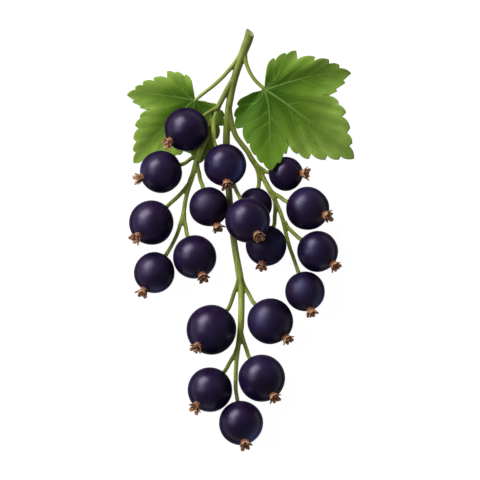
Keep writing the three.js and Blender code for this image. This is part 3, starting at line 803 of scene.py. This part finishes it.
leaf = {
    "thickness": 0.34,
    "lowest": 0.02,  # where its underside lies at the least
    "rings": 62,
    "ringSpread": 0.9,  # below 1 the rings crowd a little towards the edge
    "spokeBlend": 6,  # how late the rings take on the teeth of the outline
    # points along the near side's back, between the two backs, and along a tooth's long and short edge
    "backSide": 12,
    "backFold": 3,
    "longSide": 15,
    "shortSide": 4,
    "bulge": 0.13,
    "hub": 1.2,
    "nearReach": 28,  # how far from the stalk the teeth are shifted, on each side
    "farReach": 20,
    "valley": 0.6,  # how deep the main ribs lie between the bulges of the blade, and how wide
    "valleyWidth": 2.6,
    "furrow": 0.26,  # the same for the side veins
    "furrowWidth": 1.3,
    "heart": 0.3,  # shares of the way out: up to where the bulges grow, and the rim where they end
    "rim": 0.12,
    "wave": 0.3,
    "waveScale": 0.22,
    "ribWidth": (0.21, 0.10),  # half width of a main rib, at its root and its tip
    "ribRise": 0.12,
    "sideWidth": (0.17, 0.08),
    "sideStrength": 0.55,
    "veinStep": 0.8,
    "veinEnd": 0.6,  # how far from a vein's tip its furrow has faded
    "paling": 1.15,  # how late the blade pales on its way out
}
ribs = [(90, 14.0), (47, 24.6), (0, 31.2), (-46, 22.4), (-92, 12.7)]  # heading, length
mainRibs = [
    [(0.8, 0.8), (1.4, 2.9), (1.3, 5.3), (0.9, 7.8), (1.0, 9.8), (1.2, 13.6)],
    [(1.0, 0.6), (2.2, 2.2), (4.6, 5.6), (6.8, 8.4), (8.7, 10.8), (11.5, 13.6), (13.7, 15.6),
     (16.6, 17.9)],
    [(0.4, 0.3), (3.5, 0.6), (8.2, 0.8), (12.3, 0.8), (16.3, 0.8), (21.2, 0.8), (25.9, 0.4), (31.1, 0.0)],
    [(0.9, 0.0), (2.6, -1.1), (5.1, -3.5), (7.1, -5.9), (8.9, -8.3), (10.9, -10.7), (13.3, -13.5),
     (15.5, -16.0)],
    [(0.8, -0.2), (1.2, -2.3), (0.8, -4.5), (0.3, -6.8), (-0.3, -8.6), (-1.5, -10.2)],
]
sideVeins = [
    [(8.4, 0.7), (10.4, -0.7), (13.3, -2.8), (16.1, -4.4), (18.7, -5.8), (21.3, -7.3)],
    [(14.9, 0.7), (16.8, -0.8), (18.9, -2.3), (21.5, -3.4), (25.0, -4.9)],
    [(20.2, 0.7), (22.8, -0.6), (25.1, -1.6), (28.0, -2.6)],
    [(6.8, 8.4), (8.9, 8.9), (10.8, 9.2), (13.1, 10.2), (16.4, 11.8)],
    [(9.6, 11.8), (11.8, 12.4), (13.7, 13.5), (16.8, 14.8)],
    [(4.4, 5.4), (4.3, 7.6), (4.5, 9.8), (4.9, 11.9), (6.1, 15.4)],
    [(7.6, 9.5), (8.3, 12.3), (8.9, 14.4), (9.6, 17.1)],
    [(9.6, 12.0), (10.3, 14.4), (11.0, 16.2), (12.6, 17.8)],
    [(6.1, -4.8), (8.3, -5.0), (10.7, -5.7), (14.4, -7.4)],
    [(8.8, -8.1), (10.5, -8.3), (12.6, -9.1), (15.8, -10.1)],
    [(5.1, -3.6), (4.4, -5.5), (4.0, -7.1), (3.0, -9.2), (1.0, -12.5)],
    [(7.0, -6.0), (6.0, -8.9), (5.4, -11.1), (5.7, -14.0)],
    [(9.6, -9.2), (9.7, -11.4), (9.6, -13.6), (9.2, -15.4)],
    [(1.0, -4.0), (-0.1, -5.2), (-1.4, -6.4), (-2.7, -7.3)],
    [(1.2, 5.6), (0.4, 7.4), (-0.2, 9.2), (-0.8, 11.4)],
    [(1.2, 3.8), (0.0, 5.2), (-1.2, 6.8), (-2.3, 8.5)],
]
leafVeins = {
    "leafLeft": [
        [(11.7, 0.7), (12.5, 3.0), (14.2, 5.5), (15.8, 7.7), (17.9, 9.5)],
        [(14.8, 0.7), (16.5, 3.1), (18.6, 5.1), (20.3, 6.7), (21.9, 8.5)],
        [(19.5, 0.8), (21.3, 2.8), (23.1, 4.3), (25.3, 5.8)],
        [(23.7, 0.7), (25.2, 1.8), (26.8, 2.6), (28.2, 3.1)],
    ],
    "leafRight": [
        [(8.3, 1.0), (9.4, 2.4), (12.0, 4.3), (15.2, 6.2), (18.3, 7.4), (21.8, 8.5)],
        [(15.6, 0.8), (16.9, 2.3), (19.5, 3.7), (21.9, 4.6), (25.3, 5.8)],
        [(21.2, 0.7), (22.6, 1.6), (24.4, 2.2), (26.5, 2.6), (28.2, 3.0)],
    ],
}
# each tooth: the notch before it, and its tip
nearTeeth = [
    ((-2.6, 5.8), (-2.5, 8.7)), ((-1.8, 8.4), (-0.9, 11.6)),
    ((-0.3, 11.5), (1.2, 13.9)), ((2.9, 12.2), (6.2, 15.6)),
    ((6.7, 14.6), (9.6, 17.3)), ((10.4, 16.4), (12.7, 17.9)),
    ((13.3, 17.2), (16.7, 18.0)), ((16.2, 15.1), (17.0, 14.8)),
    ((16.0, 12.0), (16.6, 11.7)), ((15.4, 9.3), (18.7, 9.7)),
    ((19.0, 9.1), (22.0, 8.6)), ((21.8, 7.1), (25.4, 5.9)),
    ((25.5, 4.4), (28.3, 3.1)), ((28.1, 2.0), (31.2, 0.0)),
]
farTeeth = [
    ((27.9, -1.7), (28.1, -2.7)), ((24.9, -3.7), (25.2, -5.0)),
    ((21.1, -5.9), (21.5, -7.5)), ((18.4, -7.8), (18.2, -8.3)),
    ((14.8, -7.5), (15.9, -10.1)), ((15.1, -10.1), (16.1, -13.0)),
    ((15.4, -13.4), (15.5, -16.1)), ((12.3, -15.7), (11.9, -16.1)),
    ((9.5, -15.2), (9.2, -15.5)), ((6.2, -13.7), (5.8, -14.2)),
    ((2.2, -11.3), (0.9, -12.7)), ((-0.9, -10.5), (-1.7, -10.3)),
    ((-2.1, -7.5), (-2.9, -7.4)),
]
shallowFarTeeth = farTeeth[:3] + [
    ((18.7, -8.5), (18.1, -9.3)), ((16.4, -9.1), (15.7, -10.7)),
    ((15.3, -11.4), (15.9, -13.3)),
] + farTeeth[6:]
nearBack = [(0.1, 1.0), (-1.4, 3.4)]
farBack = [(-2.6, -4.7), (-1.6, -2.5), (0.1, -0.4)]
# place and heading of each blade's stalk end, its teeth, then for each rib: how high the blade arches,
# how high it ends, how strongly the rib shows and how pale the blade gets along it, that paleness partly
# painted light where a tip faces away from the key light or lies in the stems' shade
leaves = {
    "leafLeft": {
        "node": "leaf_left", "at": (-11.7, 38.1), "heading": 225, "mirror": -1, "size": 0.782,
        "far": shallowFarTeeth, "nearShift": (-0.7, 0.35), "farShift": (-1.1, -0.5),
        "base": 1.95, "pucker": 0.35, "relief": 0.5,
        "lift": [2.4, 1.3, 0.8, 0.7, 1.0],
        "end": [1.8, 2.4, 0.5, 0.6, 0.6],
        "ribStrength": [0.45, 0.6, 0.8, 0.5, 0.35],
        "tonesWithPaintedLight": [0.95, 1.0, 0.95, 0.9, 0.95],
    },
    "leafRight": {
        "node": "leaf_right", "at": (5.87, 40.82), "heading": -37, "mirror": 1, "size": 1.0,
        "far": farTeeth, "nearShift": (0, 0), "farShift": (0, 0),
        "base": 3.2, "pucker": 0.7, "relief": 0.9,
        "lift": [4.4, 5.0, 4.8, 5.4, 3.6],
        "end": [3.6, 0.5, 0.5, 9.5, 4.2],
        "ribStrength": [0.5, 0.85, 1.1, 0.8, 0.4],
        "tonesWithPaintedLight": [0.85, 0.8, 1.15, 0.5, 0.2],
    },
}


def bend(start, through, end, count):
    # points on an arc that leans towards through, without its last one
    t = (np.arange(count) / count)[:, None]
    start, through, end = (np.array(p, float) for p in (start, through, end))
    return (1 - t) ** 2 * start + 2 * t * (1 - t) * through + t ** 2 * end


def swollen(start, end):
    # a tooth's long edge, which swells outwards
    (ax, ay), (bx, by) = start, end
    bulge = 2 * leaf["bulge"]
    middle = ((ax + bx) / 2 - (by - ay) * bulge, (ay + by) / 2 + (bx - ax) * bulge)
    return bend(start, middle, end, leaf["longSide"])


def straight(start, end, count):
    return bend(start, np.add(start, end) / 2, end, count)


def shifted(teeth, by, reach):
    # moves the teeth near the stalk by a little, and those past reach not at all
    moved = []
    for tooth in teeth:
        part = [max(0, 1 - (point[0] / reach) ** 2) for point in tooth]
        moved.append(tuple((x + by[0] * p, y + by[1] * p) for (x, y), p in zip(tooth, part)))
    return moved


def bladeOutline(near, far):
    short = leaf["shortSide"]
    runs = [bend(nearBack[0], nearBack[1], near[0][0], leaf["backSide"])]
    for i, (notch, tip) in enumerate(near):
        runs.append(swollen(notch, tip))
        if i + 1 < len(near):
            runs.append(straight(tip, near[i + 1][0], short))
    tip = near[-1][1]
    for notch, nextTip in far:
        runs += [swollen(tip, notch), straight(notch, nextTip, short)]
        tip = nextTip
    runs.append(swollen(tip, farBack[0]))
    runs += [straight(start, end, short) for start, end in zip(farBack, farBack[1:])]
    runs.append(straight(farBack[2], nearBack[0], leaf["backFold"]))
    return np.vstack(runs)


def ribSpot(plan):
    # between which of the ribs each point lies: 0 on the first, 4 on the last
    heading = np.degrees(np.arctan2(plan[:, 1], plan[:, 0]))
    return np.interp(-heading, [-h for h, _ in ribs], range(len(ribs)))


def mixRibs(values, spot):
    i = np.minimum(spot.astype(int), len(ribs) - 2)
    t = spot - i
    values = np.array(values, float)
    return values[i] + (values[i + 1] - values[i]) * t * t * (3 - 2 * t)


def bladeHeight(shape, plan, spot):
    # the arch along each rib and the pucker between ribs, as the solid leaf has them
    reach = mixRibs([length for _, length in ribs], spot)
    share = np.minimum(1, np.hypot(plan[:, 0], plan[:, 1]) / reach)
    arch = shape["base"] * (1 - share) ** 2 + mixRibs(shape["lift"], spot) * 2 * share * (1 - share)
    arch += mixRibs(shape["end"], spot) * share ** 2
    between = np.sin(np.pi * (spot % 1)) ** 2
    return arch + shape["pucker"] * between * share * (1 - 0.5 * share)


def veinField(plan, lines, width, strengths):
    # distance to the nearest of the lines, and how strongly each point is part of one
    nearest = np.full(len(plan), np.inf)
    mask = np.zeros(len(plan))
    for line, strength in zip(lines, strengths):
        run = smoothRun(line, leaf["veinStep"])
        count = len(run) - 1
        for i in range(count):
            a, b = run[i], run[i + 1]
            t = np.clip(((plan - a) @ (b - a)) / ((b - a) @ (b - a)), 0, 1)
            gap = np.linalg.norm(plan - a - t[:, None] * (b - a), axis=1)
            along = (i + t) / count
            half = width[0] + (width[1] - width[0]) * along
            nearest = np.minimum(nearest, gap + leaf["veinEnd"] * along ** 4)
            mask = np.maximum(mask, strength * np.exp(-(gap / half) ** 2) * (1 - along ** 1.5))
    return nearest, mask


def evenSpokes(spokes):
    # the same spokes turned a little where they don't follow each other round the hub, so that none cross
    heading = np.unwrap(np.arctan2(spokes[:, 1], spokes[:, 0]))
    kept = np.flatnonzero(heading <= np.minimum.accumulate(heading))
    heading = np.interp(range(len(heading)), kept, heading[kept])
    return np.column_stack([np.cos(heading), np.sin(heading)]) * np.linalg.norm(spokes, axis=1)[:, None]


def spreadBlade(bm, outline):
    # a grid wrapped round the hub: where its points lie on the flat blade, and how far out they are
    around = len(outline)
    bmesh.ops.create_grid(bm, x_segments=around, y_segments=leaf["rings"], size=1)
    column = np.array([round((v.co.x + 1) / 2 * around) % around for v in bm.verts])
    share = np.array([(v.co.y + 1) / 2 for v in bm.verts]) ** leaf["ringSpread"]
    hub = np.array([leaf["hub"], 0.0])
    spokes = outline - hub
    inner = evenSpokes(spokes)
    spoke = inner[column] + (spokes - inner)[column] * share[:, None] ** leaf["spokeBlend"]
    return hub + spoke * share[:, None], share


def bladeSurface(name, plan, share):
    # each point's height, and the layers that its colour follows
    shape, sides = leaves[name], sideVeins + leafVeins[name]
    mainGap, mainMask = veinField(plan, mainRibs, leaf["ribWidth"], shape["ribStrength"])
    sideGap, sideMask = veinField(plan, sides, leaf["sideWidth"], [leaf["sideStrength"]] * len(sides))
    inside = np.clip((1 - share) / leaf["rim"], 0, 1)
    grown = np.clip(share / leaf["heart"], 0, 1)
    bulge = 1 - np.exp(-(mainGap / leaf["valleyWidth"]) ** 2)
    dome = 1 - np.exp(-(sideGap / leaf["furrowWidth"]) ** 2)
    relief = leaf["valley"] * (bulge - 0.6) * grown
    relief += leaf["furrow"] * (dome - 0.5) * bulge * (0.3 + 0.7 * inside)
    spot = ribSpot(plan)
    height = bladeHeight(shape, plan, spot) + relief * shape["relief"] + leaf["ribRise"] * mainMask
    return height, {
        # tone: paler towards the edge, and per rib partly painted light over shaded or turned-away parts
        "toneWithPaintedLight": mixRibs(shape["tonesWithPaintedLight"], spot) * share ** leaf["paling"],
        "swell": bulge * (0.4 + 0.6 * dome),
        "vein": np.maximum(mainMask, sideMask),
    }


def makeLeaf(name, materials):
    shape = leaves[name]
    near = shifted(nearTeeth, shape["nearShift"], leaf["nearReach"])
    far = shifted(shape["far"], shape["farShift"], leaf["farReach"])
    bm = bmesh.new()
    plan, share = spreadBlade(bm, bladeOutline(near, far))
    height, values = bladeSurface(name, plan, share)
    layers = {key: bm.verts.layers.float.new(key) for key in values}
    turn = Matrix.Rotation(math.radians(shape["heading"]), 2)
    lowest = leaf["thickness"] / 2 + leaf["lowest"]
    bm.verts.ensure_lookup_table()
    for i, v in enumerate(bm.verts):
        spot = Vector((plan[i, 0], plan[i, 1] * shape["mirror"])) * shape["size"]
        read = Vector((spot.x * leaf["waveScale"], spot.y * leaf["waveScale"], shape["heading"]))
        wave = leaf["wave"] * noise.noise(read) * share[i]
        place = turn @ spot + Vector(shape["at"])
        for key, layer in layers.items():
            v[layer] = values[key][i]
        v.co = (place.x, place.y, max(height[i] + wave, lowest))
    bmesh.ops.remove_doubles(bm, verts=bm.verts, dist=0.004)
    bmesh.ops.recalc_face_normals(bm, faces=bm.faces)
    if sum(f.normal.z for f in bm.faces) < 0:
        bmesh.ops.reverse_faces(bm, faces=bm.faces)
    piece = addPiece(name, bm, materials, shape["node"])
    shell = piece.modifiers.new("thickness", "SOLIDIFY")
    shell.thickness = leaf["thickness"] * mm
    shell.offset = 0
    shell.material_offset = 1


scene.view_settings.view_transform = "Standard"
addCamera()
addSky()
addSoftBox("key", light["keyFrom"], light["keyDistance"], light["keySize"], light["keyPower"],
           light["keyColour"])
addSoftBox("side", light["sideFrom"], light["sideDistance"], light["sideSize"], light["sidePower"],
           light["sideColour"])
addFloor()
print("stage ready")

skin = berrySkin()
for number in numbers:
    makeBerry(number, skin)
print("berries ready")

dry = calyxDry()
for number in numbers:
    makeCalyx(number, dry)
print("calyces ready")

makeStem([stemGreen(), stemPith()])
print("stem ready")

bladeMaterials = [leafBlade("leafTop", False), leafBlade("leafUnder", True)]
for name in leaves:
    makeLeaf(name, bladeMaterials)
print("leaves ready")

bpy.context.view_layer.update()
